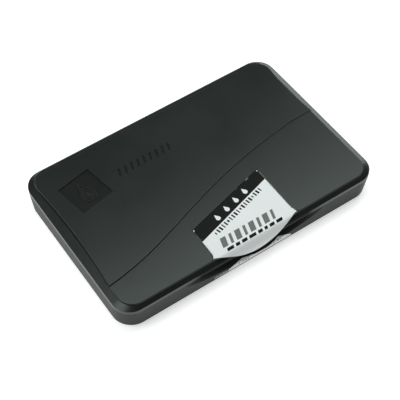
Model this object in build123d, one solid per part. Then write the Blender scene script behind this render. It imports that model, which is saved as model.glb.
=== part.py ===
from build123d import *
import os
from math import cos, pi

# Hinged office stamp pad: a low black plastic case whose lid turns on two short pins at the back,
# with a cloth-covered felt pad held under a frame in the base. Millimetres, +Z up.
# The origin is the centre of the underside. The front, with the thumb tab, faces -Y.

# Case, whose ends draw in a little from the front to the hinge side
LENGTH = 128.2
DEPTH = 82.3
NARROWING = 0.9
CORNER = 8.5
FOOT_LENGTH = 127.1
FOOT_DEPTH = 80.3
FOOT_CORNER = 9.1
FOOT_ROUND = 0.8
SEAM = 10.5
SEAM_GAP = 0.1
FLOOR = 1.5
INNER_LENGTH = 123.8
INNER_DEPTH = 78.0
INNER_CORNER = 6.3

# Lid outside
RIM_TOP = SEAM + 1.9
SHOULDER_TOP = 13.6
PANEL_LENGTH = 122.4
PANEL_DEPTH = 79.1
PANEL_CORNER = 7.0
PANEL_TOP = 14.5
PANEL_ROUND = 0.45
PLATEAU_LEFT_TOP = 15.15
PLATEAU_RIGHT_TOP = 14.85
PLATEAU_BACK = 37.6
PLATEAU_CORNER = 6.0
PLATEAU_ROUND = 0.25
LEFT_BOW = 1.3
RIGHT_BOW = 0.7

# The ogee step that crosses the lid from the left edge to the right edge, seen from above
OGEE_LEFT_Y = -26.3
OGEE_MIDDLE = [(-38.0, -21.8), (-12.0, -13.1), (20.0, -4.0), (44.0, 0.1)]
OGEE_RIGHT_Y = 1.1

# Lid inside
LID_CEILING = 13.25
LID_WALL = 1.4
SHOULDER_WALL = 1.3
RIB_LENGTH = 122.0
RIB_DEPTH = 36.1
RIB_BACK = 33.0
RIB_CORNER = 3.15
RIB_THICK = 1.0
RIB_BOTTOM = 9.5
BEAD_HEIGHT = 0.25
BEAD_LENGTH = 12.0
BEAD_X = 26.0

# Decoration of the lid: a sunken square with nested raised drops in it, and a row of sunken slanted strokes
BADGE_CENTRE = (-44.4, 19.0)
BADGE_SIDE = 16.3
BADGE_TURN = 10.0
BADGE_FLOOR = PLATEAU_LEFT_TOP - 0.45
DROP_RADIUS = 3.3
DROP_TIP = 8.2
DROP_SCALES = [(1.0, 0.84), (0.66, 0.48), (0.3, 0.0)]
DROP_RAISE = 0.2
STROKE_FIRST = -27.4
STROKE_LINE = 19.2
STROKE_COUNT = 9
STROKE_PITCH = 3.1
STROKE_HEIGHT = 4.2
STROKE_WIDTH = 1.1
STROKE_SLANT = -18.0
STROKE_FLOOR = PLATEAU_LEFT_TOP - 0.35

# Thumb tab on the lid and thumb scoop in the base
TAB_CENTRE = 1.0
TAB_HALF = 20.5
TAB_WAVE = 22.0
TAB_BOTTOM = 8.0
TAB_POINTS = 20
TAB_PROUD = 0.5
TAB_THICK = 1.25
TAB_REACH = 2.5
TAB_FALL = 5.0
SCOOP_HALF = 35.0
SCOOP_DROP = 7.6
SCOOP_DEPTH = 3.4
SCOOP_WALL = 1.35

# Hinges
HINGE_X = 38.0
HINGE_Y = 41.75
HINGE_Z = 7.6
KNUCKLE_RADIUS = 2.0
LID_KNUCKLE = 9.0
BASE_KNUCKLE = 3.5
KNUCKLE_GAP = 0.25
PIN_RADIUS = 0.75
PIN_CLEARANCE = 0.05
ARM_INNER = HINGE_Y - KNUCKLE_RADIUS
ARM_OUTER = 41.1
POCKET_FLOOR = 39.15
POCKET_BOTTOM = 4.9
POCKET_SIDE = 0.3
POCKET_WALL = 1.55

# Pad, bottom to top: backing board, two felt layers, cloth over all of them
PAD_LENGTH = 108.0
PAD_DEPTH = 70.0
BOARD_THICK = 1.0
FELT_SPLIT = 5.9
FELT_EDGE_TOP = 7.4
FELT_TOP = 8.3
CROWN_INSET = 1.4
CROWN_ROUND = 0.7
PAD_CORNER = 2.5
CLOTH = 0.4

# Frame that holds the pad down, and the fence that it stands on
WINDOW_LENGTH = 106.6
WINDOW_DEPTH = 68.6
WINDOW_CORNER = 3.0
WINDOW_BEVEL = 0.7
DECK_BOTTOM = 8.0
DECK_TOP = 9.2
DECK_CLEARANCE = 0.2
FENCE_GAP = 0.3
FENCE_THICK = 0.8

# Ejector marks of the two mouldings
EJECTOR_RADIUS = 2.5
EJECTOR_DEPTH = 0.15
EJECTOR_X = 46.0
EJECTOR_Y = 27.0

# Paper seal, cut in two where the case opens
PAPER = 0.15
SEAL_LEFT = -18.8
SEAL_RIGHT = 21.3
SEAL_BACK_LEFT = -23.1
SEAL_BACK_RIGHT = -12.4
LOWER_SEAL_LEFT = -12.5
LOWER_SEAL_RIGHT = 18.5
LOWER_SEAL_TOP = 7.2
LOWER_SEAL_BOTTOM = 1.0

FRONT = -DEPTH / 2
TAB_FRONT = FRONT - TAB_PROUD
BIG = 200.0


def case_plan(length, depth, corner):
    """Rounded plan of the case: as long as stated at the front, and drawn in towards the hinge side."""
    front, side = length / 2, depth / 2
    back = front - NARROWING * depth / DEPTH
    corners = [(-front, -side), (front, -side), (back, side), (-back, side)]
    plan = make_face(Polyline(*corners, close=True))
    return fillet(plan.vertices(), corner)


def case_slab(length, depth, corner, low, high):
    """Upright slab with the plan of the case."""
    return Pos(0, 0, low) * extrude(case_plan(length, depth, corner), high - low)


def slab(length, depth, corner, low, high):
    """Upright slab with rounded corners, centred on the case."""
    return Pos(0, 0, low) * extrude(RectangleRounded(length, depth, corner), high - low)


def block(x_low, x_high, y_low, y_high, z_low, z_high):
    """Box between two corners."""
    size = Box(x_high - x_low, y_high - y_low, z_high - z_low)
    return Pos((x_low + x_high) / 2, (y_low + y_high) / 2, (z_low + z_high) / 2) * size


def tapered(low_size, low, high_size, high):
    """Solid between two plans of the case, each given as length, depth and corner radius."""
    return loft([Pos(0, 0, low) * case_plan(*low_size), Pos(0, 0, high) * case_plan(*high_size)])


def rod(radius, x_low, x_high):
    """Round bar along X on the hinge axis."""
    centre = Pos((x_low + x_high) / 2, HINGE_Y, HINGE_Z)
    return centre * Rot(0, 90, 0) * Cylinder(radius, x_high - x_low)


def outer_wall(grow):
    """Outside of the base, which narrows towards the table, grown by a paper's thickness or nothing."""
    foot = (FOOT_LENGTH + 2 * grow, FOOT_DEPTH + 2 * grow, FOOT_CORNER + grow)
    rim = (LENGTH + 2 * grow, DEPTH + 2 * grow, CORNER + grow)
    return tapered(foot, 0, rim, SEAM)


def scoop(shrink):
    """Spheroid that hollows the thumb scoop out of the front wall."""
    # Its radius and reach give the wanted drop below the seam and depth behind the front face.
    radius = (SCOOP_DROP**2 / SCOOP_DEPTH + SCOOP_DEPTH) / 2
    half = SCOOP_HALF * radius / SCOOP_DROP
    outline = Ellipse(half - shrink, radius - shrink) & Pos(0, BIG / 2) * Rectangle(2 * BIG, BIG)
    return Pos(0, FRONT + SCOOP_DEPTH - radius, SEAM) * revolve(outline, Axis.X)


def ejector_marks(height):
    """Shallow discs where ejector pins pressed."""
    spots = [Pos(x, y, height) for x in (-EJECTOR_X, EJECTOR_X) for y in (-EJECTOR_Y, EJECTOR_Y)]
    return [spot * Cylinder(EJECTOR_RADIUS, 2 * EJECTOR_DEPTH) for spot in spots]


def knuckle_spans():
    """Left and right end of the base's two knuckles at each hinge."""
    inner = LID_KNUCKLE / 2 + KNUCKLE_GAP
    outer = inner + BASE_KNUCKLE
    for centre in (-HINGE_X, HINGE_X):
        yield centre - outer, centre - inner
        yield centre + inner, centre + outer


def base_tray():
    """Open tray with thumb scoop, pad fence, hinge pockets and hinge knuckles."""
    tray = outer_wall(0)
    tray = fillet(tray.faces().sort_by(Axis.Z)[0].edges(), FOOT_ROUND)
    tray -= case_slab(INNER_LENGTH, INNER_DEPTH, INNER_CORNER, FLOOR, BIG)
    fence_length = PAD_LENGTH + 2 * (CLOTH + FENCE_GAP)
    fence_depth = PAD_DEPTH + 2 * (CLOTH + FENCE_GAP)
    fence = slab(fence_length + 2 * FENCE_THICK, fence_depth + 2 * FENCE_THICK, PAD_CORNER, FLOOR, DECK_BOTTOM)
    fence -= slab(fence_length, fence_depth, PAD_CORNER, FLOOR, DECK_BOTTOM)
    tray += fence
    scoop_back = FRONT + SCOOP_DEPTH + SCOOP_WALL
    tray += block(-SCOOP_HALF, SCOOP_HALF, -INNER_DEPTH / 2, scoop_back, FLOOR, SEAM)
    tray -= scoop(0)
    pocket_half = LID_KNUCKLE / 2 + POCKET_SIDE
    for centre in (-HINGE_X, HINGE_X):
        left, right = centre - pocket_half, centre + pocket_half
        back = INNER_DEPTH / 2
        tray += block(left - POCKET_WALL, right + POCKET_WALL, POCKET_FLOOR - POCKET_WALL, back, FLOOR, SEAM)
        tray -= block(left, right, POCKET_FLOOR, BIG, POCKET_BOTTOM, BIG)
    for left, right in knuckle_spans():
        tray += rod(KNUCKLE_RADIUS, left, right)
        web_low, web_high = HINGE_Z - KNUCKLE_RADIUS, HINGE_Z + KNUCKLE_RADIUS
        tray += block(left, right, POCKET_FLOOR, HINGE_Y, web_low, web_high)
        tray -= rod(PIN_RADIUS, left, right)
    for mark in ejector_marks(0):
        tray -= mark
    return tray


def panel_end(y):
    """Half length of the lid's panel at a distance from its middle."""
    return PANEL_LENGTH / 2 - NARROWING * (y + PANEL_DEPTH / 2) / DEPTH


def left_end_arc():
    """Left end of the plateau, bowed in between the ogee step and the back corner."""
    front, back = OGEE_LEFT_Y, PLATEAU_BACK - PLATEAU_CORNER
    middle = (front + back) / 2
    bow = (-panel_end(middle) + LEFT_BOW, middle)
    return ThreePointArc((-panel_end(back), back), bow, (-panel_end(front), front))


def plateau():
    """Raised part of the lid behind the ogee step, bowed in at both ends and slightly lower at the right."""
    half = PANEL_LENGTH / 2
    front, back = OGEE_RIGHT_Y, PLATEAU_BACK - PLATEAU_CORNER
    middle = (front + back) / 2
    ogee_left, ogee_right = (-panel_end(OGEE_LEFT_Y), OGEE_LEFT_Y), (panel_end(front), front)
    right_bow = (panel_end(middle) - RIGHT_BOW, middle)
    end = panel_end(back)
    line_end = end - PLATEAU_CORNER
    outline = [
        Spline(ogee_left, *OGEE_MIDDLE, ogee_right, tangents=[(1, 0.1), (1, 0.0)]),
        ThreePointArc(ogee_right, right_bow, (end, back)),
        TangentArc((end, back), (line_end, PLATEAU_BACK), tangent=(0, 1)),
        Line((line_end, PLATEAU_BACK), (-line_end, PLATEAU_BACK)),
        TangentArc((-line_end, PLATEAU_BACK), (-end, back), tangent=(-1, 0)),
        left_end_arc(),
    ]
    solid = Pos(0, 0, SHOULDER_TOP) * extrude(make_face(Curve() + outline), BIG / 10)
    slope = Polyline(
        (-half, PLATEAU_LEFT_TOP),
        (half, PLATEAU_RIGHT_TOP),
        (half, BIG),
        (-half, BIG),
        close=True,
    )
    above = Pos(0, BIG / 2, 0) * extrude(Plane.XZ * make_face(slope), BIG)
    solid -= above
    return fillet(solid.faces().sort_by(Axis.Z)[-1].edges(), PLATEAU_ROUND)


def left_relief():
    """Sliver between the lid panel's straight left edge and the plateau's bowed one."""
    bow = left_end_arc()
    back, front = bow @ 0, bow @ 1
    beyond = -PANEL_LENGTH / 2 - 1
    chord = Polyline(front, (beyond, front.Y), (beyond, back.Y), back)
    return Pos(0, 0, SHOULDER_TOP) * extrude(make_face(Curve() + [bow, chord]), BIG)


def ink_drop(scale):
    """Outline of a drop: a round belly with two sides that meet at a tip."""
    radius, tip = DROP_RADIUS * scale, DROP_TIP * scale
    # The sides touch the belly where a line from the tip just grazes it.
    touch_y = radius**2 / tip
    touch_x = (radius**2 - touch_y**2) ** 0.5
    belly = ThreePointArc((-touch_x, touch_y), (0, -radius), (touch_x, touch_y))
    sides = Polyline((touch_x, touch_y), (0, tip), (-touch_x, touch_y))
    return make_face(Curve() + [belly, sides])


def badge():
    """What is cut away for the sunken square, leaving nested drops standing in it."""
    place = Pos(*BADGE_CENTRE, BADGE_FLOOR) * Rot(0, 0, BADGE_TURN)
    sunk = place * extrude(Rectangle(BADGE_SIDE, BADGE_SIDE), BIG)
    centred = place * Pos(0, (DROP_RADIUS - DROP_TIP) / 2)
    for outer, inner in DROP_SCALES:
        line = ink_drop(outer)
        if inner:
            line -= ink_drop(inner)
        sunk -= centred * extrude(line, DROP_RAISE)
    return sunk


def strokes():
    """Row of sunken slanted bars with round ends."""
    for number in range(STROKE_COUNT):
        place = Pos(STROKE_FIRST + number * STROKE_PITCH, STROKE_LINE, STROKE_FLOOR) * Rot(0, 0, STROKE_SLANT)
        yield place * extrude(SlotOverall(STROKE_HEIGHT, STROKE_WIDTH, rotation=90), BIG)


def tab_profile(grow):
    """Side view of the front of the tab: level with the panel, then an elliptic curve down to the front face."""
    top, front = PANEL_TOP + grow, TAB_FRONT - grow
    fold, start = TAB_FRONT + TAB_REACH, PANEL_TOP - TAB_FALL
    over = EllipticalCenterArc((fold, start), TAB_REACH + grow, TAB_FALL + grow, 90, arc_size=90)
    rest = Polyline((front, start), (front, 0), (fold + 1, 0), (fold + 1, top), (fold, top))
    side = make_face(Curve() + [over, rest])
    return Pos(TAB_CENTRE - TAB_HALF, 0, 0) * extrude(Plane.YZ * side, 2 * TAB_HALF)


def tab_edge(across):
    """Height of the tab's lower edge at a distance from its middle: half a wave, deepest in the middle."""
    return PANEL_TOP - (PANEL_TOP - TAB_BOTTOM) * cos(pi * across / (2 * TAB_WAVE)) ** 2


def tab_lens():
    """Front view of the tab: it hangs from the panel's edge down to its wavy lower edge."""
    offsets = [TAB_HALF * (2 * number / TAB_POINTS - 1) for number in range(TAB_POINTS + 1)]
    wave = Spline([(TAB_CENTRE + offset, tab_edge(offset)) for offset in offsets])
    left, right, end = TAB_CENTRE - TAB_HALF, TAB_CENTRE + TAB_HALF, tab_edge(TAB_HALF)
    above = Polyline((right, end), (right, SEAM + BIG), (left, SEAM + BIG), (left, end))
    return extrude(Plane.XZ * make_face(Curve() + [wave, above]), BIG)


def thumb_tab():
    """Solid tab, thinned behind so that it hangs clear of the scoop."""
    tab = tab_profile(0) & tab_lens()
    inner = block(-BIG, BIG, TAB_FRONT + TAB_THICK, BIG, 0, SHOULDER_TOP - SHOULDER_WALL / 2)
    return tab - inner


def seal_rib():
    """Rib under the lid that stands just inside the base's walls at the front and sides."""
    depth = 2 * RIB_DEPTH
    rib = case_slab(RIB_LENGTH, depth, RIB_CORNER, RIB_BOTTOM, LID_CEILING)
    inside = (RIB_LENGTH - 2 * RIB_THICK, depth - 2 * RIB_THICK, RIB_CORNER - RIB_THICK)
    rib -= case_slab(*inside, 0, BIG)
    rib -= block(-BIG, BIG, RIB_BACK, BIG, 0, BIG)
    for centre in (-BEAD_X, BEAD_X):
        height = RIB_BOTTOM + 2 * BEAD_HEIGHT
        rib += Pos(centre, -RIB_DEPTH, height) * Rot(0, 90, 0) * Cylinder(BEAD_HEIGHT, BEAD_LENGTH)
    return rib


def lid_shell():
    """Lid with its rim, sloping shoulder, panel, plateau, tab, seal rib and hinge arms."""
    low = SEAM + SEAM_GAP
    panel_size = (PANEL_LENGTH, PANEL_DEPTH, PANEL_CORNER)
    lid = case_slab(LENGTH, DEPTH, CORNER, low, RIM_TOP)
    lid += tapered((LENGTH, DEPTH, CORNER), RIM_TOP, panel_size, SHOULDER_TOP)
    panel = case_slab(*panel_size, SHOULDER_TOP, PANEL_TOP)
    panel = fillet(panel.faces().sort_by(Axis.Z)[-1].edges(), PANEL_ROUND)
    lid += panel - left_relief()
    lid += plateau()
    lid += thumb_tab()
    inside_low = (LENGTH - 2 * LID_WALL, DEPTH - 2 * LID_WALL, CORNER - LID_WALL)
    inside_high = [size - 2 * SHOULDER_WALL for size in panel_size[:2]] + [PANEL_CORNER - SHOULDER_WALL]
    lid -= tapered(inside_low, low, inside_high, LID_CEILING)
    lid += seal_rib()
    half = LID_KNUCKLE / 2
    for centre in (-HINGE_X, HINGE_X):
        left, right = centre - half, centre + half
        lid += block(left, right, ARM_INNER, ARM_OUTER, HINGE_Z, RIM_TOP)
        lid += rod(KNUCKLE_RADIUS, left, right)
        lid -= rod(PIN_RADIUS + PIN_CLEARANCE, left, right)
    lid -= badge()
    for cut in [*strokes(), *ejector_marks(LID_CEILING)]:
        lid -= cut
    return lid


def hinge_pin(side):
    """Steel pin, fixed in the base's knuckles and free in the lid's."""
    reach = LID_KNUCKLE / 2 + KNUCKLE_GAP + BASE_KNUCKLE
    return rod(PIN_RADIUS, side * HINGE_X - reach, side * HINGE_X + reach)


def pad_block(grow, low):
    """Outside of the pad: a block with a raised crown that shows in the frame's window."""
    length, depth = PAD_LENGTH + 2 * grow, PAD_DEPTH + 2 * grow
    body = slab(length, depth, PAD_CORNER + grow, low, FELT_EDGE_TOP + grow)
    crown = slab(length - 2 * CROWN_INSET, depth - 2 * CROWN_INSET, PAD_CORNER, low, FELT_TOP + grow)
    return body + fillet(crown.faces().sort_by(Axis.Z)[-1].edges(), CROWN_ROUND)


def backing_board():
    """Stiff board under the felt."""
    return slab(PAD_LENGTH, PAD_DEPTH, PAD_CORNER, FLOOR, FLOOR + BOARD_THICK)


def felt_reservoir():
    """Thick lower felt that holds most of the ink."""
    return pad_block(0, FLOOR + BOARD_THICK) & slab(BIG, BIG, 1, 0, FELT_SPLIT)


def felt_top_layer():
    """Finer upper felt that meets the cloth."""
    return pad_block(0, FLOOR + BOARD_THICK) & slab(BIG, BIG, 1, FELT_SPLIT, BIG)


def cloth_cover():
    """Woven cover over the top and down the sides of the felt and board."""
    return pad_block(CLOTH, FLOOR) - pad_block(0, FLOOR)


def pad_frame():
    """Flat frame whose lip overlaps the pad's edge, notched round the scoop wall and hinge pockets."""
    length, depth = INNER_LENGTH - 2 * DECK_CLEARANCE, INNER_DEPTH - 2 * DECK_CLEARANCE
    frame = case_slab(length, depth, INNER_CORNER - DECK_CLEARANCE, DECK_BOTTOM, DECK_TOP)
    window = slab(WINDOW_LENGTH, WINDOW_DEPTH, WINDOW_CORNER, DECK_BOTTOM, DECK_TOP)
    frame -= window
    brim = frame.faces().sort_by(Axis.Z)[-1].inner_wires()[0].edges()
    frame = chamfer(brim, WINDOW_BEVEL)
    notch = FRONT + SCOOP_DEPTH + SCOOP_WALL + DECK_CLEARANCE
    frame -= block(-SCOOP_HALF - DECK_CLEARANCE, SCOOP_HALF + DECK_CLEARANCE, -BIG, notch, 0, BIG)
    reach = LID_KNUCKLE / 2 + POCKET_SIDE + POCKET_WALL + DECK_CLEARANCE
    for centre in (-HINGE_X, HINGE_X):
        notch = POCKET_FLOOR - POCKET_WALL - DECK_CLEARANCE
        frame -= block(centre - reach, centre + reach, notch, BIG, 0, BIG)
    return frame


def lid_seal():
    """Upper half of the paper seal: slanted at the back, square at the sides, folded down over the tab."""
    fold = TAB_FRONT + TAB_REACH
    flat = Polyline(
        (SEAL_LEFT, fold),
        (SEAL_RIGHT, fold),
        (SEAL_RIGHT, SEAL_BACK_RIGHT),
        (SEAL_LEFT, SEAL_BACK_LEFT),
        close=True,
    )
    sheet = Pos(0, 0, PANEL_TOP) * extrude(make_face(flat), PAPER)
    wrap = (tab_profile(PAPER) - tab_profile(0)) & tab_lens()
    wrap &= block(SEAL_LEFT, SEAL_RIGHT, -BIG, fold, 0, BIG)
    return sheet + wrap


def base_seal():
    """Lower half of the paper seal, in the thumb scoop and on the wall below it."""
    left, right = LOWER_SEAL_LEFT, LOWER_SEAL_RIGHT
    in_scoop = (scoop(0) - scoop(PAPER)) & outer_wall(PAPER)
    in_scoop &= block(left, right, -BIG, 0, LOWER_SEAL_BOTTOM, LOWER_SEAL_TOP)
    on_wall = (outer_wall(PAPER) - outer_wall(0)) - scoop(0)
    on_wall &= block(left, right, -BIG, 0, LOWER_SEAL_BOTTOM, LOWER_SEAL_TOP)
    return in_scoop + on_wall


NODES = {
    "base_tray": base_tray(),
    "pad_frame": pad_frame(),
    "backing_board": backing_board(),
    "felt_reservoir": felt_reservoir(),
    "felt_top_layer": felt_top_layer(),
    "cloth_cover": cloth_cover(),
    "base_seal": base_seal(),
    "hinge_pin_left": hinge_pin(-1),
    "hinge_pin_right": hinge_pin(1),
    "lid_shell": lid_shell(),
    "lid_seal": lid_seal(),
}

os.makedirs("parts", exist_ok=True)
for name, solid in NODES.items():
    export_step(solid, f"parts/{name}.step")
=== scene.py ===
import math

import bmesh
import bpy
from mathutils import Matrix, Vector, noise
from mathutils.bvhtree import BVHTree


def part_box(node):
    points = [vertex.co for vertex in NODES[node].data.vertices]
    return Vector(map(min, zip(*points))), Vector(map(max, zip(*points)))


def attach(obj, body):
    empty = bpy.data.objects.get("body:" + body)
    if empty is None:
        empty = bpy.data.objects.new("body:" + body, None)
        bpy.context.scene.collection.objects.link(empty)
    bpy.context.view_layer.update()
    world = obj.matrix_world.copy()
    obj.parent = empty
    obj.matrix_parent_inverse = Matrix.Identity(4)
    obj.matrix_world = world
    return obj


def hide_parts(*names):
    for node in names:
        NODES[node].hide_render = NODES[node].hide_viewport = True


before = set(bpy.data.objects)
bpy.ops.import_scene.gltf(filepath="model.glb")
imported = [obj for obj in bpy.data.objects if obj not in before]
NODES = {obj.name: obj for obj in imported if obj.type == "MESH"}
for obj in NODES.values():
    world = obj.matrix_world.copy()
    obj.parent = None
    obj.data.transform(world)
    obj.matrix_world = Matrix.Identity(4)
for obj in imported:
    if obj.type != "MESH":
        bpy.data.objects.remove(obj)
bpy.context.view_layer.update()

MM = 0.001
SEAL_LOW, SEAL_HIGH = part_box("lid_seal")
LID_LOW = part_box("lid_shell")[0]
BASE_LOW, BASE_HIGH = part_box("base_tray")
FELT_LOW, FELT_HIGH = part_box("felt_reservoir")
CROWN_LOW, CROWN_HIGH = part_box("felt_top_layer")
CLOTH_LOW, CLOTH_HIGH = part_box("cloth_cover")
LENGTH = BASE_HIGH.x - BASE_LOW.x
SEAM = BASE_HIGH.z
RIM_TOP = 12.4 * MM


# ---------------------------------------------------------------- camera, floor and lights

CAMERA_AZIMUTH = math.radians(-34.65)
CAMERA_ELEVATION = math.radians(53.5)
CAMERA_DISTANCE = 3.996 * LENGTH
CAMERA_LENS = 106.44
CAMERA_SENSOR = 36
CAMERA_CLIP = (0.01, 20)
CAMERA_AIM = (0.0038 * LENGTH, -0.0194 * LENGTH)


def camera_axes():
    """Unit vectors of the camera at its angle round the object: right, up, and back from the object."""
    level, height = math.cos(CAMERA_ELEVATION), math.sin(CAMERA_ELEVATION)
    back = Vector((math.sin(CAMERA_AZIMUTH) * level, -math.cos(CAMERA_AZIMUTH) * level, height))
    right = Vector((0, 0, 1)).cross(back).normalized()
    return right, back.cross(right), back


def add_camera():
    """Camera that stands at its distance from the origin, shifted a little sideways and down."""
    data = bpy.data.cameras.new("camera")
    data.lens = CAMERA_LENS
    data.sensor_width = CAMERA_SENSOR
    data.clip_start, data.clip_end = CAMERA_CLIP
    right, up, back = camera_axes()
    camera = bpy.data.objects.new("camera", data)
    place = back * CAMERA_DISTANCE + right * CAMERA_AIM[0] + up * CAMERA_AIM[1]
    camera.matrix_world = Matrix.Translation(place) @ Matrix((right, up, back)).transposed().to_4x4()
    bpy.context.scene.collection.objects.link(camera)
    bpy.context.scene.camera = camera


LIGHT_TINT = (0.95, 1.0, 0.98)
WORLD_TINT = (0.93, 0.98, 0.96, 1)
WORLD_STRENGTH = 0.10
FLOOR_REACH = 3.0
FLOOR_LEVEL = -0.02 * MM
FLOOR_GREY = (0.86, 0.86, 0.86, 1)
FLOOR_GLOW = 0.60


def area_light(name, place, size, radiance, aim=None):
    """Soft rectangular light, hidden from the camera, that faces a point, or straight down."""
    data = bpy.data.lights.new(name, "AREA")
    data.shape = "RECTANGLE"
    data.size, data.size_y = size
    data.energy = radiance * math.pi * size[0] * size[1]
    data.color = LIGHT_TINT
    lamp = bpy.data.objects.new(name, data)
    lamp.location = place
    if aim:
        lamp.rotation_euler = (Vector(aim) - Vector(place)).to_track_quat("-Z", "Y").to_euler()
    lamp.visible_camera = False
    bpy.context.scene.collection.objects.link(lamp)


def add_floor():
    """Pale plain floor just under the case, which gives off a little light so that shadows stay faint."""
    mesh = bpy.data.meshes.new("floor")
    signs = [(-1, -1), (1, -1), (1, 1), (-1, 1)]
    mesh.from_pydata([(x * FLOOR_REACH, y * FLOOR_REACH, FLOOR_LEVEL) for x, y in signs], [], [(0, 1, 2, 3)])
    floor = bpy.data.objects.new("floor", mesh)
    bpy.context.scene.collection.objects.link(floor)
    material = bpy.data.materials.new("floor_white")
    material.use_nodes = True
    shader = material.node_tree.nodes["Principled BSDF"]
    shader.inputs["Base Color"].default_value = FLOOR_GREY
    shader.inputs["Roughness"].default_value = 0.9
    shader.inputs["Specular IOR Level"].default_value = 0.1
    shader.inputs["Emission Color"].default_value = (1, 1, 1, 1)
    shader.inputs["Emission Strength"].default_value = FLOOR_GLOW
    mesh.materials.append(material)


def add_lights():
    """Near softbox overhead that ends behind the case, and low boxes behind it on the left and right."""
    world = bpy.data.worlds.new("surroundings")
    world.use_nodes = True
    background = world.node_tree.nodes["Background"]
    background.inputs["Color"].default_value = WORLD_TINT
    background.inputs["Strength"].default_value = WORLD_STRENGTH
    bpy.context.scene.world = world
    area_light("overhead", (0.02, 0.048, 0.365), (0.70, 0.215), 3.3)
    area_light("left_box", (-0.60, 0.35, 0.22), (0.5, 0.36), 2.0, (0, 0, 0))
    area_light("right_box", (0.60, 0.36, 0.20), (0.4, 0.3), 3.0, (0, 0, 0))
    bpy.context.scene.view_settings.view_transform = "Standard"


# ---------------------------------------------------------------- materials

SHEEN_TINT = (0.92, 1.0, 0.96, 1)
# Specular level of the painted shade in the thumb scoop and on the lid's lip above it
SHADED_SPECULAR = 0.03
THREAD_PITCH = 0.42 * MM


class Paint:
    """A principled material under construction, with the object's own coordinates in metres."""

    def __init__(self, name, roughness, specular=0.5):
        self.material = bpy.data.materials.new(name)
        self.material.use_nodes = True
        self.tree = self.material.node_tree
        self.shader = self.tree.nodes["Principled BSDF"]
        self.shader.inputs["Roughness"].default_value = roughness
        self.shader.inputs["Specular IOR Level"].default_value = specular
        self.shader.inputs["Specular Tint"].default_value = SHEEN_TINT
        self.place = self.tree.nodes.new("ShaderNodeTexCoord").outputs["Object"]

    def node(self, kind, inputs=(), **settings):
        made = self.tree.nodes.new(kind)
        for key, value in settings.items():
            setattr(made, key, value)
        for key, value in dict(inputs).items():
            self.feed(made.inputs[key], value)
        return made

    def feed(self, socket, value):
        if isinstance(value, bpy.types.NodeSocket):
            self.tree.links.new(value, socket)
        else:
            socket.default_value = value

    def noise(self, scale, detail=2.0, roughness=0.5, place=None):
        inputs = {"Vector": place or self.place, "Scale": scale, "Detail": detail, "Roughness": roughness}
        return self.node("ShaderNodeTexNoise", inputs).outputs["Fac"]

    def stretched(self, scale, turn=(0, 0, 0)):
        inputs = {"Vector": self.place, "Rotation": turn, "Scale": scale}
        return self.node("ShaderNodeMapping", inputs).outputs["Vector"]

    def cells(self, scale):
        return self.node("ShaderNodeTexVoronoi", {"Vector": self.place, "Scale": scale}).outputs["Distance"]

    def spread(self, value, low, high, from_low=0.0, from_high=1.0):
        inputs = {0: value, 1: from_low, 2: from_high, 3: low, 4: high}
        return self.node("ShaderNodeMapRange", inputs).outputs["Result"]

    def calc(self, first, second, how="ADD"):
        return self.node("ShaderNodeMath", {0: first, 1: second}, operation=how).outputs["Value"]

    def mix(self, share, first, second):
        inputs = {"Factor": share, "A": first, "B": second}
        made = self.node("ShaderNodeMix", data_type="RGBA")
        for key, socket in {"Factor": 0, "A": 6, "B": 7}.items():
            self.feed(made.inputs[socket], inputs[key])
        return made.outputs[2]

    def colour(self, share, first, second):
        self.feed(self.shader.inputs["Base Color"], self.mix(share, (*first, 1), (*second, 1)))

    def rough(self, value):
        self.feed(self.shader.inputs["Roughness"], value)

    def bump(self, height, distance, strength=1.0):
        inputs = {"Height": height, "Distance": distance, "Strength": strength}
        self.feed(self.shader.inputs["Normal"], self.node("ShaderNodeBump", inputs).outputs["Normal"])


def moulded_plastic(name, dark, light, roughness, specular, painted_shade=None):
    """Satin moulded plastic: fine spark-eroded grain, faint handling marks and a few hairline scratches; a
    mask, if given, lowers its reflection there as painted shade.
    """
    paint = Paint(name, roughness, specular)
    grain = paint.noise(2600, 3, 0.6)
    smudge = paint.noise(28, 4, 0.55)
    hairs = paint.noise(190, 2, 0.5, paint.stretched((1, 14, 1), (0, 0, 0.5)))
    hairs = paint.spread(hairs, 0.0, 1.0, 0.70, 0.78)
    paint.colour(paint.spread(smudge, 0.0, 1.0, 0.3, 0.7), dark, light)
    uneven = paint.calc(paint.spread(smudge, -0.05, 0.06), paint.spread(grain, -0.04, 0.04))
    uneven = paint.calc(uneven, paint.calc(hairs, -0.05, "MULTIPLY"))
    paint.rough(paint.calc(uneven, roughness))
    if painted_shade:
        # Painted shade: the reflection is lowered where the mask is one, to darken parts that lie in shade
        paint.feed(paint.shader.inputs["Specular IOR Level"], paint.spread(painted_shade(paint), specular, SHADED_SPECULAR))
    height = paint.calc(grain, paint.calc(hairs, -0.4, "MULTIPLY"))
    paint.bump(height, 0.03 * MM, 0.6)
    return paint.material


def over_scoop(paint, parts):
    """One over the middle of the thumb scoop, fading to nothing at its ends, with a patchy edge."""
    across = paint.calc(parts["X"], 0.0, "ABSOLUTE")
    patchy = paint.spread(paint.noise(700, 3, 0.6), -2.0 * MM, 2.0 * MM)
    return paint.spread(paint.calc(across, patchy), 1.0, 0.0, 27 * MM, 36 * MM)


def painted_lip_shade(paint):
    """Where the lid's front edge gets painted shade, a lower reflection: above the scoop, below the
    shoulder.
    """
    parts = paint.node("ShaderNodeSeparateXYZ", {"Vector": paint.place}).outputs
    front = paint.calc(parts["Y"], LID_LOW.y + 0.62 * MM, "LESS_THAN")
    low = paint.calc(parts["Z"], RIM_TOP + 0.05 * MM, "LESS_THAN")
    return paint.calc(over_scoop(paint, parts), paint.calc(front, low, "MULTIPLY"), "MULTIPLY")


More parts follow.
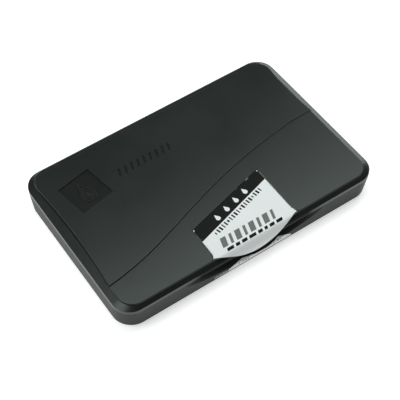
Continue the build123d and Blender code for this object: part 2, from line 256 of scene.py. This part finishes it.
def painted_scoop_shade(paint):
    """Where the scoop gets the same painted shade, a lower reflection: more the deeper it goes behind the
    sloping front wall, under the lid's overhang.
    """
    parts = paint.node("ShaderNodeSeparateXYZ", {"Vector": paint.place}).outputs
    foot = BASE_LOW.y + 1.0 * MM
    wall = paint.calc(foot, paint.calc(parts["Z"], -1.0 * MM / SEAM, "MULTIPLY"))
    depth = paint.calc(parts["Y"], wall, "SUBTRACT")
    deep = paint.spread(depth, 0.0, 1.0, 0.1 * MM, 1.0 * MM)
    outside = paint.calc(parts["Y"], -37 * MM, "LESS_THAN")
    return paint.calc(over_scoop(paint, parts), paint.calc(deep, outside, "MULTIPLY"), "MULTIPLY")


def pulp_board(name):
    """Pressed grey board with flecks."""
    paint = Paint(name, 0.9, 0.2)
    fleck = paint.noise(900, 4, 0.7)
    paint.colour(paint.spread(fleck, 0.0, 1.0, 0.35, 0.65), (0.22, 0.20, 0.17), (0.42, 0.38, 0.32))
    paint.bump(fleck, 0.05 * MM)
    return paint.material


def drawn_steel(name):
    """Bright steel wire with lengthwise drawing lines."""
    paint = Paint(name, 0.25)
    paint.shader.inputs["Metallic"].default_value = 1.0
    lines = paint.noise(9000, 2, 0.5, paint.stretched((0.04, 1, 1)))
    paint.colour(lines, (0.48, 0.48, 0.47), (0.66, 0.66, 0.65))
    paint.rough(paint.spread(lines, 0.2, 0.38))
    paint.bump(lines, 0.01 * MM)
    return paint.material


def set_material(node, material):
    """Gives a CAD node one material."""
    data = NODES[node].data
    data.materials.clear()
    data.materials.append(material)
    for face in data.polygons:
        face.material_index = 0


def coated_paper(name):
    """Coated label paper: faint fibre cloudiness, slight dirt and a soft sheen."""
    paint = Paint(name, 0.42, 0.4)
    fibre = paint.noise(1500, 4, 0.6)
    cloud = paint.noise(90, 3, 0.5)
    blend = paint.calc(paint.spread(fibre, 0.0, 0.5), paint.spread(cloud, 0.0, 0.5))
    paint.colour(blend, (0.75, 0.76, 0.77), (0.85, 0.86, 0.87))
    paint.rough(paint.spread(cloud, 0.36, 0.5))
    paint.bump(paint.calc(fibre, paint.calc(cloud, 3.0, "MULTIPLY")), 0.02 * MM)
    return paint.material


def printed_ink(name, dark, light, roughness=0.5, specular=0.2):
    """Flat ink on the label, a little uneven where it sank into the paper."""
    paint = Paint(name, roughness, specular)
    fibre = paint.noise(2200, 3, 0.6)
    paint.colour(paint.spread(fibre, 0.0, 1.0, 0.3, 0.7), dark, light)
    paint.rough(paint.spread(fibre, roughness - 0.05, roughness + 0.1))
    paint.bump(fibre, 0.01 * MM, 0.5)
    return paint.material


def adhesive_film(name):
    """Clear film over black plastic: a glossy dark margin with pale patches where air got under it."""
    paint = Paint(name, 0.16)
    air = paint.noise(260, 4, 0.7)
    paint.colour(paint.spread(air, 0.0, 1.0, 0.58, 0.66), (0.012, 0.0135, 0.013), (0.20, 0.21, 0.21))
    paint.rough(paint.spread(air, 0.1, 0.35))
    paint.bump(air, 0.04 * MM)
    return paint.material


def torn_film(name):
    """Cloudy remnant of film with a mottled grey look."""
    paint = Paint(name, 0.3)
    mottle = paint.noise(900, 4, 0.75)
    paint.colour(paint.spread(mottle, 0.0, 1.0, 0.35, 0.68), (0.05, 0.055, 0.055), (0.42, 0.45, 0.45))
    paint.rough(paint.spread(mottle, 0.2, 0.5))
    paint.bump(mottle, 0.05 * MM)
    return paint.material


def woven_cotton(name):
    """Plain weave damp with black ink: alternating raised warp and weft, wavering threads, wet patches."""
    paint = Paint(name, 0.55, 0.35)
    parts = paint.node("ShaderNodeSeparateXYZ", {"Vector": paint.place}).outputs
    along = paint.calc(parts["X"], parts["Z"])
    across = paint.calc(parts["Y"], parts["Z"])
    wobble = paint.spread(paint.noise(240, 2, 0.5), -0.05 * MM, 0.05 * MM)
    turns = math.pi / THREAD_PITCH
    warp = paint.calc(paint.calc(paint.calc(along, wobble), turns, "MULTIPLY"), 0.0, "SINE")
    weft = paint.calc(paint.calc(paint.calc(across, wobble), turns, "MULTIPLY"), 0.0, "SINE")
    over = paint.calc(paint.calc(warp, weft, "MULTIPLY"), 0.0, "GREATER_THAN")
    warp = paint.calc(warp, 0.0, "ABSOLUTE")
    weft = paint.calc(weft, 0.0, "ABSOLUTE")
    warp_over = paint.calc(over, warp, "MULTIPLY")
    weft_over = paint.calc(paint.calc(1.0, over, "SUBTRACT"), weft, "MULTIPLY")
    crossing = paint.calc(warp_over, weft_over)
    wet = paint.noise(45, 4, 0.6)
    lint = paint.noise(5200, 2, 0.6)
    shade = paint.calc(paint.spread(crossing, 0.0, 0.6), paint.spread(lint, 0.0, 0.4))
    paint.colour(shade, (0.004, 0.004, 0.006), (0.030, 0.030, 0.036))
    paint.rough(paint.spread(wet, 0.30, 0.75, 0.35, 0.65))
    paint.bump(paint.calc(crossing, paint.calc(lint, 0.35, "MULTIPLY")), 0.12 * MM)
    return paint.material


def inked_felt(name, dark, light, fibre_scale):
    """Pressed wool felt soaked with ink: crossed fibres and small pits."""
    paint = Paint(name, 0.85, 0.2)
    first = paint.noise(fibre_scale, 3, 0.6, paint.stretched((1, 6, 2), (0.3, 0.2, 0.4)))
    second = paint.noise(fibre_scale, 3, 0.6, paint.stretched((1, 6, 2), (0.1, 0.5, 1.7)))
    fibres = paint.calc(first, second, "MAXIMUM")
    paint.colour(paint.spread(fibres, 0.0, 1.0, 0.45, 0.75), dark, light)
    paint.bump(paint.calc(fibres, paint.cells(fibre_scale)), 0.15 * MM)
    paint.rough(paint.spread(fibres, 0.7, 0.95))
    return paint.material


# ---------------------------------------------------------------- mesh helpers

def add_piece(name, bm, material, body, smooth=True):
    """Turns a bmesh into an object that rides on a body."""
    bmesh.ops.recalc_face_normals(bm, faces=bm.faces)
    mesh = bpy.data.meshes.new(name)
    bm.to_mesh(mesh)
    bm.free()
    piece = bpy.data.objects.new(name, mesh)
    bpy.context.scene.collection.objects.link(piece)
    mesh.materials.append(material)
    if smooth:
        mesh.shade_smooth()
    else:
        mesh.shade_flat()
    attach(piece, body)
    return piece


def grid_faces(bm, rows):
    """Quads between rows of vertices that have the same count."""
    for low, high in zip(rows, rows[1:]):
        for k in range(len(low) - 1):
            bm.faces.new((low[k], low[k + 1], high[k + 1], high[k]))


def skin(bm, front_rows, back_rows):
    """Closed thin sheet between two matching grids of points."""
    front = [[bm.verts.new(point) for point in row] for row in front_rows]
    back = [[bm.verts.new(point) for point in row] for row in back_rows]
    grid_faces(bm, front)
    grid_faces(bm, [list(reversed(row)) for row in back])
    last = len(front[0]) - 1
    for a, b in zip(range(len(front)), range(1, len(front))):
        bm.faces.new((front[a][0], back[a][0], back[b][0], front[b][0]))
        bm.faces.new((front[b][last], back[b][last], back[a][last], front[a][last]))
    for k in range(last):
        bm.faces.new((front[0][k + 1], back[0][k + 1], back[0][k], front[0][k]))
        bm.faces.new((front[-1][k], back[-1][k], back[-1][k + 1], front[-1][k + 1]))


def prism(bm, outline, low, high):
    """Closed upright prism on an outline of (x, y) points."""
    floor = [bm.verts.new((x, y, low)) for x, y in outline]
    roof = [bm.verts.new((x, y, high)) for x, y in outline]
    bm.faces.new(roof)
    bm.faces.new(list(reversed(floor)))
    for k in range(len(outline)):
        after = (k + 1) % len(outline)
        bm.faces.new((floor[k], floor[after], roof[after], roof[k]))


def placed(outline, centre, turn=0.0):
    """An outline turned and moved to a centre."""
    cos, sin = math.cos(turn), math.sin(turn)
    return [(centre[0] + x * cos - y * sin, centre[1] + x * sin + y * cos) for x, y in outline]


def bar(width, height, lean=0.0):
    """Upright parallelogram whose top leans to the right."""
    side, top = width / 2, height / 2
    return [(-side - lean, -top), (side - lean, -top), (side + lean, top), (-side + lean, top)]


def drop(radius, tip, points=20):
    """Drop with a round belly and a pointed top, centred on its middle."""
    start = math.asin(radius / tip)
    middle = (tip - radius) / 2
    outline = [(0.0, tip - middle)]
    for k in range(points + 1):
        angle = math.pi - start + (math.pi + 2 * start) * k / points
        outline.append((radius * math.cos(angle), radius * math.sin(angle) - middle))
    return outline


# ---------------------------------------------------------------- paper seal on the lid

PAPER = 0.15 * MM
PAPER_SHEET = 0.10 * MM
FILM_SHEET = 0.03 * MM
PRINT = 0.012 * MM
FILM_MARGIN = 0.55 * MM
TAB_CENTRE, TAB_HALF, TAB_WAVE = 1.0 * MM, 20.5 * MM, 22.0 * MM
TAB_BOTTOM = SEAL_LOW.z
TAB_REACH, TAB_FALL = 2.5 * MM, 5.0 * MM
PANEL_TOP = SEAL_HIGH.z - PAPER
TAB_FRONT = SEAL_LOW.y + PAPER
FOLD = TAB_FRONT + TAB_REACH
BEND_LOW = PANEL_TOP - TAB_FALL
SEAL_LEFT, SEAL_RIGHT = SEAL_LOW.x, SEAL_HIGH.x
SEAL_SLANT = (10.7 * MM) / (SEAL_RIGHT - SEAL_LEFT)
STRIP_LEFT, STRIP_RIGHT = 6.6 * MM, 5.7 * MM
EAR = 1.3 * MM
EAR_FADE = 0.9 * MM
EAR_POWER = 9
CURL = 0.10 * MM
CURL_POWER = 6
FILM_EDGE_GAP, PAPER_EDGE_GAP = 0.05 * MM, 0.30 * MM


def seal_back(x):
    """Y of the seal's slanted back edge."""
    return SEAL_HIGH.y - SEAL_SLANT * (SEAL_RIGHT - x)


def strip_front(x):
    """Y of the lower edge of the black strip along the seal's back edge."""
    share = (x - SEAL_LEFT) / (SEAL_RIGHT - SEAL_LEFT)
    return seal_back(x) - STRIP_LEFT - share * (STRIP_RIGHT - STRIP_LEFT)


def tab_edge(x):
    """Height of the tab's lower edge: half a wave, deepest in the middle."""
    across = min(abs(x - TAB_CENTRE), TAB_HALF)
    return PANEL_TOP - (PANEL_TOP - TAB_BOTTOM) * math.cos(math.pi * across / (2 * TAB_WAVE)) ** 2


def tab_turn(height):
    """How far round the tab's side profile a height is, as an angle from the fold."""
    if height >= BEND_LOW:
        return math.acos(min(1.0, (height - BEND_LOW) / TAB_FALL))
    return math.pi / 2 + (BEND_LOW - height) / TAB_FALL


def on_tab(x, turn, lift):
    """Point of the tab's front, lifted off its surface."""
    if turn <= math.pi / 2:
        y = FOLD - (TAB_REACH + lift) * math.sin(turn)
        return x, y, BEND_LOW + (TAB_FALL + lift) * math.cos(turn)
    return x, TAB_FRONT - lift, BEND_LOW - (turn - math.pi / 2) * TAB_FALL


def seal_rows(lift, margin, edge_gap, flat_rows=10, bend_rows=22, columns=56):
    """Grid of points over the panel and down the tab, from the slanted back edge to the wavy lower edge."""
    rows = [[] for _ in range(flat_rows + bend_rows + 1)]
    left, right = SEAL_LEFT - margin, SEAL_RIGHT + margin
    middle, half = (left + right) / 2, (right - left) / 2
    for column in range(columns + 1):
        share = 2 * column / columns - 1
        x = middle + half * share
        back = seal_back(x) + margin
        end = tab_turn(tab_edge(x) + edge_gap)
        ear = EAR * share**EAR_POWER
        for row in range(flat_rows):
            y = back + (FOLD - back) * row / flat_rows
            near = math.exp(-abs(y - FOLD) / EAR_FADE)
            rows[row].append((x + ear * near, y, PANEL_TOP + lift))
        for row in range(bend_rows + 1):
            turn = end * row / bend_rows
            near = math.exp(-turn * TAB_REACH / EAR_FADE)
            curl = CURL * (row / bend_rows) ** CURL_POWER
            rows[flat_rows + row].append(on_tab(x + ear * near, turn, lift + curl))
    return rows


def lid_label():
    """The seal's upper half: clear film with a margin, white paper layer, and generic printed marks."""
    film = bmesh.new()
    skin(film, seal_rows(FILM_SHEET, FILM_MARGIN, FILM_EDGE_GAP), seal_rows(0, FILM_MARGIN, FILM_EDGE_GAP))
    add_piece("label_film", film, adhesive_film("label_film"), "lid")
    paper = bmesh.new()
    under, over = FILM_SHEET, FILM_SHEET + PAPER_SHEET
    skin(paper, seal_rows(over, 0, PAPER_EDGE_GAP), seal_rows(under, 0, PAPER_EDGE_GAP))
    label = add_piece("lid_label", paper, coated_paper("label_paper"), "lid")
    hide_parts("lid_seal")


def lid_print():
    """Generic marks on the seal: a black strip with four pale drops, ticks, grey bars and black blocks."""
    paper_top = PANEL_TOP + FILM_SHEET + PAPER_SHEET
    low, first, second = paper_top - PRINT, paper_top + PRINT, paper_top + 2 * PRINT
    slant = math.atan(SEAL_SLANT)
    ink = bmesh.new()
    cut = 0.8 * MM
    strip = [
        (SEAL_LEFT, strip_front(SEAL_LEFT)),
        (SEAL_RIGHT, strip_front(SEAL_RIGHT)),
        (SEAL_RIGHT, seal_back(SEAL_RIGHT) - cut),
        (SEAL_RIGHT - cut, seal_back(SEAL_RIGHT - cut)),
        (SEAL_LEFT + cut, seal_back(SEAL_LEFT + cut)),
        (SEAL_LEFT, seal_back(SEAL_LEFT) - cut),
    ]
    prism(ink, strip, low, first)
    ticks, tick_left, tick_pitch = 19, -11.8 * MM, 1.55 * MM
    for k in range(ticks):
        x = tick_left + k * tick_pitch
        width = (0.55 + 0.35 * ((k * 7) % 3) / 2) * MM
        height = (2.1 if k % 5 else 1.2) * MM
        prism(ink, placed(bar(width, height), (x, strip_front(x) - 1.75 * MM), slant), low, first)
    left = -12.6 * MM
    for length in (3.2, 2.0, 2.6, 3.4, 2.2, 1.5, 2.4, 3.0):
        block = bar(length * MM, 1.5 * MM, 0.25 * MM)
        prism(ink, placed(block, (left + length * MM / 2, FOLD + 0.55 * MM)), low, first)
        left += (length + 1.05) * MM
    black = printed_ink("print_black", (0.0045, 0.0048, 0.0042), (0.0085, 0.0090, 0.0078), 0.5, 0.1)
    add_piece("label_black_print", ink, black, "lid", smooth=False)
    pale = bmesh.new()
    for k in range(4):
        x = (-6.8 + 5.7 * k) * MM
        y = (seal_back(x) + strip_front(x)) / 2
        prism(pale, placed(drop(1.05 * MM, 2.3 * MM), (x, y), slant), low, second)
    add_piece("label_pale_print", pale, coated_paper("print_pale"), "lid", smooth=False)
    grey = bmesh.new()
    left = -12.8 * MM
    for width in (2.6, 1.3, 2.6, 1.3, 2.6, 1.3, 2.6, 1.3):
        block = bar(width * MM, 4.6 * MM, 0.7 * MM)
        prism(grey, placed(block, (left + width * MM / 2, -34.7 * MM)), low, first)
        left += (width + 1.55) * MM
    mid_grey = printed_ink("print_grey", (0.125, 0.135, 0.13), (0.165, 0.175, 0.17), 0.4)
    add_piece("label_grey_print", grey, mid_grey, "lid", smooth=False)


# ---------------------------------------------------------------- paper seal on the base

LOWER_LEFT, LOWER_RIGHT = -13.6 * MM, 19.4 * MM
LOWER_FOOT = 1.5 * MM
SCRAP_LENGTH, SCRAP_GAP = 6.5 * MM, 0.1 * MM
OUTWARD = Vector((0, -1, 0.35)).normalized()
# Torn upper edge of the lower seal: distance along the case and height, in millimetres
TORN_EDGE = [(-13.6, 1.4), (-12.6, 3.2), (-10.5, 4.1), (-6.1, 4.6), (-2.5, 4.0), (2.1, 3.1),
             (6.0, 2.9), (9.9, 4.2), (12.5, 5.1), (16.0, 4.5), (18.6, 3.0), (19.4, 1.4)]


def base_surface():
    """Finds the front of the base: the point there at x and z, lifted off outwards and a little upwards."""
    mesh = NODES["base_tray"].data
    tree = BVHTree.FromPolygons([v.co for v in mesh.vertices], [tuple(p.vertices) for p in mesh.polygons])

    def at(x, z, lift):
        point = tree.ray_cast(Vector((x, 2 * BASE_LOW.y, z)), Vector((0, 1, 0)))[0]
        return point + OUTWARD * lift

    return at


def wavy_top(x):
    """Height of the lower seal's torn upper edge, eased between the listed places."""
    place = min(max(x / MM, TORN_EDGE[0][0]), TORN_EDGE[-1][0])
    for (x_low, z_low), (x_high, z_high) in zip(TORN_EDGE, TORN_EDGE[1:]):
        if place <= x_high:
            share = (place - x_low) / (x_high - x_low)
            ease = share * share * (3 - 2 * share)
            return (z_low + (z_high - z_low) * (0.5 * share + 0.5 * ease)) * MM


def ragged_top(x):
    """Height of the film scrap's torn upper edge."""
    return 3.1 * MM + 0.35 * MM * math.sin(x / (0.9 * MM)) * math.sin(x / (0.37 * MM))


def wall_sheet(at, left, right, bottom, top, low, high, columns=64, rows=16):
    """Closed thin sheet that follows the front of the base between two curves."""
    def layer(lift):
        made = []
        for row in range(rows + 1):
            line = []
            for column in range(columns + 1):
                x = left + (right - left) * column / columns
                z = bottom(x) + (top(x) - bottom(x)) * row / rows
                line.append(at(x, z, lift))
            made.append(line)
        return made

    bm = bmesh.new()
    skin(bm, layer(high), layer(low))
    return bm


def base_label():
    """The seal's lower half in the scoop and on the wall, its faint print, and a scrap of film beside it."""
    at = base_surface()
    high = PAPER_SHEET
    sheet = wall_sheet(at, LOWER_LEFT, LOWER_RIGHT, lambda x: LOWER_FOOT, wavy_top, 0, high)
    label = add_piece("base_label", sheet, coated_paper("lower_label_paper"), "base")
    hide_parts("base_seal")
    scrap_left, scrap_right = LOWER_LEFT - SCRAP_LENGTH, LOWER_LEFT - SCRAP_GAP
    scrap = wall_sheet(at, scrap_left, scrap_right, lambda x: LOWER_FOOT, ragged_top, 0, high / 2, 40, 6)
    add_piece("film_scrap", scrap, torn_film("film_scrap"), "base")
    marks = bmesh.new()
    for k, start in enumerate((-8.0, -6.3, -4.9, -3.3, 9.8, 11.6, 13.1)):
        x = start * MM
        size = (1.0 if k % 3 else 0.6) * MM
        middle = wavy_top(x) - 1.25 * MM
        patch = wall_sheet(at, x, x + size, lambda x: middle - 0.45 * MM, lambda x: middle + 0.45 * MM,
                           high / 2, high + PRINT, 3, 3)
        copy = bpy.data.meshes.new("mark")
        patch.to_mesh(copy)
        patch.free()
        marks.from_mesh(copy)
        bpy.data.meshes.remove(copy)
    faint = printed_ink("print_faint", (0.20, 0.21, 0.21), (0.27, 0.28, 0.28), 0.4)
    add_piece("base_label_print", marks, faint, "base")


# ---------------------------------------------------------------- stamp pad: felt layers and cloth

VOXEL = 1.5 * MM
CROWN_CAP = 0.42 * MM
FELT_SEAM = 0.04 * MM
FELT_SHOULDER = 0.9 * MM
CROWN_INSET = 1.4 * MM
CROWN_SLACK = 0.15 * MM
HELD_RIM = 4 * MM
PRESSURE = 4
SWELL_FRAMES = 20
CLOTH = 0.4 * MM
COVER_SIDE = 0.12 * MM
COVER_GAP = 0.15 * MM
COVER_CORNER = 2.9 * MM
COVER_THICK = 0.12 * MM
COVER_STEP = 1.25 * MM
SLUB = 0.02 * MM
SLUB_LONG, SLUB_SHORT = 3 * MM, 0.8 * MM
LEAST_RADIUS = 0.05 * MM


def box_form(bm, low, high):
    """Closed box between two corners, added to a mesh."""
    made = bmesh.ops.create_cube(bm, size=1)["verts"]
    size, middle = high - low, (high + low) / 2
    for vert in made:
        vert.co = Vector(vert.co[k] * size[k] + middle[k] for k in range(3))


def use_only(piece):
    """Makes a piece the only selected and active one."""
    bpy.ops.object.select_all(action="DESELECT")
    piece.select_set(True)
    bpy.context.view_layer.objects.active = piece


def felt_form():
    """Both felt layers as one block with a raised crown, remeshed evenly and swollen by cloth pressure."""
    bm = bmesh.new()
    shoulder = CROWN_HIGH.z - FELT_SHOULDER
    box_form(bm, FELT_LOW, Vector((CROWN_HIGH.x, CROWN_HIGH.y, shoulder)))
    crown_low = Vector((CROWN_LOW.x + CROWN_INSET, CROWN_LOW.y + CROWN_INSET, FELT_LOW.z + MM))
    crown_high = Vector((CROWN_HIGH.x - CROWN_INSET, CROWN_HIGH.y - CROWN_INSET, CROWN_HIGH.z - CROWN_SLACK))
    box_form(bm, crown_low, crown_high)
    mesh = bpy.data.meshes.new("felt_form")
    bm.to_mesh(mesh)
    bm.free()
    form = bpy.data.objects.new("felt_form", mesh)
    bpy.context.scene.collection.objects.link(form)
    use_only(form)
    remesh = form.modifiers.new("even", "REMESH")
    remesh.mode = "VOXEL"
    remesh.voxel_size = VOXEL
    bpy.ops.object.modifier_apply(modifier="even")
    soften = form.modifiers.new("soften", "SMOOTH")
    soften.factor, soften.iterations = 0.5, 5
    bpy.ops.object.modifier_apply(modifier="soften")
    swell(form)
    return form


def swell(form):
    """Runs the cloth simulation on the block's free top and keeps its result, capped."""
    start = [vert.co.copy() for vert in form.data.vertices]
    held = form.vertex_groups.new(name="held")
    free_x, free_y, free_z = CROWN_HIGH.x - HELD_RIM, CROWN_HIGH.y - HELD_RIM, CROWN_HIGH.z - MM
    for vert in form.data.vertices:
        x, y, z = vert.co
        free = abs(x) < free_x and abs(y) < free_y and z > free_z
        held.add([vert.index], 0.0 if free else 1.0, "REPLACE")
    cloth = form.modifiers.new("swell", "CLOTH")
    cloth.settings.use_pressure = True
    cloth.settings.uniform_pressure_force = PRESSURE
    cloth.settings.vertex_group_mass = "held"
    cloth.settings.effector_weights.gravity = 0
    cloth.point_cache.frame_start, cloth.point_cache.frame_end = 1, SWELL_FRAMES
    for number in range(1, SWELL_FRAMES + 1):
        bpy.context.scene.frame_set(number)
    evaluated = form.evaluated_get(bpy.context.evaluated_depsgraph_get())
    moved = [vert.co.copy() for vert in evaluated.data.vertices]
    form.modifiers.remove(cloth)
    bpy.context.scene.frame_set(1)
    for vert, before, after in zip(form.data.vertices, start, moved):
        shift = after - before
        if shift.length > CROWN_CAP:
            shift *= CROWN_CAP / shift.length
        vert.co = before + shift


def felt_layer(form, name, node, low, high, material, fuzz):
    """The part of the block between two heights, closed and roughened like cut felt."""
    bm = bmesh.new()
    bm.from_mesh(form.data)
    for height, direction in ((low, -1), (high, 1)):
        if height is None:
            continue
        everything = bm.verts[:] + bm.edges[:] + bm.faces[:]
        bmesh.ops.bisect_plane(bm, geom=everything, plane_co=(0, 0, height), plane_no=(0, 0, direction),
                               clear_outer=True)
        bmesh.ops.holes_fill(bm, edges=[edge for edge in bm.edges if edge.is_boundary])
    bmesh.ops.triangulate(bm, faces=[face for face in bm.faces if len(face.verts) > 4])
    bm.normal_update()
    for vert in bm.verts:
        rough = noise.noise(vert.co / (1.3 * MM)) + 0.5 * noise.noise(vert.co / (0.6 * MM))
        vert.co += vert.normal * rough * fuzz
    layer = add_piece(name, bm, material, "base")
    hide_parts(node)


def over_the_pad(profile, half, top_at):
    """The sheet's length from one lower edge, over the middle of the pad, to the other."""
    run = []
    for inset, height in profile:
        run.append(Vector((half - inset, top_at(half - inset) if height is None else height)))
    run.append(Vector((0.0, top_at(0.0))))
    return 2 * sum((after - before).length for before, after in zip(run, run[1:]))


def cover_profile(shoulder, half):
    """From the cover's lower edge to the pad's middle: how far in, and how high, or None on the felt."""
    profile = [(COVER_SIDE, CLOTH_LOW.z + 0.15 * MM)]
    profile += [(COVER_SIDE, height * MM) for height in (3.0, 4.6, 6.2)]
    profile += [
        (COVER_SIDE, shoulder - 0.5 * MM),
        (COVER_SIDE + 0.12 * MM, shoulder - 0.18 * MM),
        (COVER_SIDE + 0.45 * MM, shoulder - 0.06 * MM),
        (1.35 * MM, shoulder),
        (1.7 * MM, shoulder + 0.25 * MM),
        (2.0 * MM, shoulder + 0.62 * MM),
    ]
    inset = 2.6 * MM
    while inset < half - 0.2 * MM:
        profile.append((inset, None))
        inset += COVER_STEP
    profile.append((half - 0.06 * MM, None))
    return profile


def cloth_cover(form):
    """Woven cover stretched over the felt and down its sides, with its cut edge beside the board."""
    faces = [tuple(face.vertices) for face in form.data.polygons]
    tree = BVHTree.FromPolygons([vert.co for vert in form.data.vertices], faces)
    half_x, half_y = CLOTH_HIGH.x, CLOTH_HIGH.y
    shoulder = CROWN_HIGH.z - FELT_SHOULDER + CLOTH

    def top(x, y):
        """Height of the cover over the felt, a little uneven along its threads."""
        hit = tree.ray_cast(Vector((x, y, 0.1)), Vector((0, 0, -1)))[0]
        height = hit.z if hit else shoulder
        warp = noise.noise(Vector((x / SLUB_LONG, y / SLUB_SHORT, 0)))
        weft = noise.noise(Vector((x / SLUB_SHORT, y / SLUB_LONG, 5)))
        return height + COVER_GAP + SLUB * (warp + weft)

    def ring(inset, height):
        """One line round the pad, a rounded rectangle, with its height given or taken from the felt."""
        points = []
        radius = max(COVER_CORNER - inset, LEAST_RADIUS)
        reach_x, reach_y = half_x - inset - radius, max(half_y - inset - radius, 0.0)
        straight_x, straight_y, turn_steps = 84, 56, 8
        sides = [
            ((1, -1), (0, 1), straight_y),
            ((1, 1), (-1, 0), straight_x),
            ((-1, 1), (0, -1), straight_y),
            ((-1, -1), (1, 0), straight_x),
        ]
        for (sx, sy), (dx, dy), steps in sides:
            start = Vector((sx * reach_x, sy * reach_y))
            travel = 2 * (reach_x if dx else reach_y)
            outward = Vector((dy, -dx)) * radius
            for k in range(steps):
                points.append(start + Vector((dx, dy)) * travel * k / steps + outward)
            corner_centre = start + Vector((dx, dy)) * travel
            first = math.atan2(outward.y, outward.x)
            for k in range(turn_steps):
                angle = first + math.pi / 2 * k / turn_steps
                points.append(corner_centre + Vector((math.cos(angle), math.sin(angle))) * radius)
        return [(p.x, p.y, top(p.x, p.y) if height is None else height) for p in points]

    profile = cover_profile(shoulder, half_y)
    bm = bmesh.new()
    rings = [[bm.verts.new(point) for point in ring(*station)] for station in profile]
    for outer, inner in zip(rings, rings[1:]):
        count = len(outer)
        for k in range(count):
            after = (k + 1) % count
            bm.faces.new((outer[k], outer[after], inner[after], inner[k]))
    bmesh.ops.remove_doubles(bm, verts=rings[-1], dist=0.2 * MM)
    piece = add_piece("pad_cloth", bm, woven_cotton("pad_cloth"), "base")
    thick = piece.modifiers.new("cloth_thickness", "SOLIDIFY")
    thick.thickness = COVER_THICK
    thick.offset = 1
    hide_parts("cloth_cover")
    # The cut size is measured along the sheet.
    width = over_the_pad(profile, half_x, lambda x: top(x, 0.0))
    length = over_the_pad(profile, half_y, lambda y: top(0.0, y))


# ---------------------------------------------------------------- the scene

# Where on the lid the sunken badge and strokes lie, and how far above the panel their floors are
SUNK_X = (-56 * MM, 5 * MM)
SUNK_Y = (8 * MM, 36 * MM)
SUNK_RISE = (0.1 * MM, 0.36 * MM)
FACES_UP = 0.9


def sink_decoration(dark):
    """Gives the floors of the lid's sunken badge and strokes their own smoother, darker finish."""
    data = NODES["lid_shell"].data
    data.materials.append(dark)
    for face in data.polygons:
        x, y, z = face.center
        in_area = SUNK_X[0] < x < SUNK_X[1] and SUNK_Y[0] < y < SUNK_Y[1]
        at_floor = PANEL_TOP + SUNK_RISE[0] < z < PANEL_TOP + SUNK_RISE[1]
        if face.normal.z > FACES_UP and in_area and at_floor:
            face.material_index = 1


add_camera()
add_floor()
add_lights()
# The case's mask gives painted shade in the thumb scoop, standing in for the shade under the lid's overhang
case_black = moulded_plastic("case_black", (0.0060, 0.0072, 0.0067), (0.0090, 0.0104, 0.0098), 0.46, 0.22,
                             painted_scoop_shade)
# The lid's mask gives painted shade on its lip above the thumb scoop
lid_black = moulded_plastic("lid_black", (0.0070, 0.0084, 0.0078), (0.0100, 0.0116, 0.0108), 0.30, 0.5,
                            painted_lip_shade)
frame_black = moulded_plastic("frame_black", (0.0070, 0.0074, 0.0076), (0.0100, 0.0105, 0.0108), 0.33, 0.5)
sunk_black = moulded_plastic("sunk_black", (0.0035, 0.0040, 0.0038), (0.0055, 0.0060, 0.0057), 0.45, 0.22)
set_material("base_tray", case_black)
set_material("lid_shell", lid_black)
set_material("pad_frame", frame_black)
set_material("backing_board", pulp_board("grey_board"))
for side in ("left", "right"):
    set_material(f"hinge_pin_{side}", drawn_steel(f"pin_steel_{side}"))
sink_decoration(sunk_black)
lid_label()
lid_print()
base_label()
form = felt_form()
split = FELT_HIGH.z
felt_layer(form, "felt_thick", "felt_reservoir", None, split - FELT_SEAM,
           inked_felt("felt_thick", (0.006, 0.006, 0.007), (0.045, 0.045, 0.05), 900), 0.10 * MM)
felt_layer(form, "felt_fine", "felt_top_layer", split + FELT_SEAM, None,
           inked_felt("felt_fine", (0.005, 0.005, 0.006), (0.035, 0.035, 0.04), 1500), 0.05 * MM)
cloth_cover(form)
bpy.data.objects.remove(form)
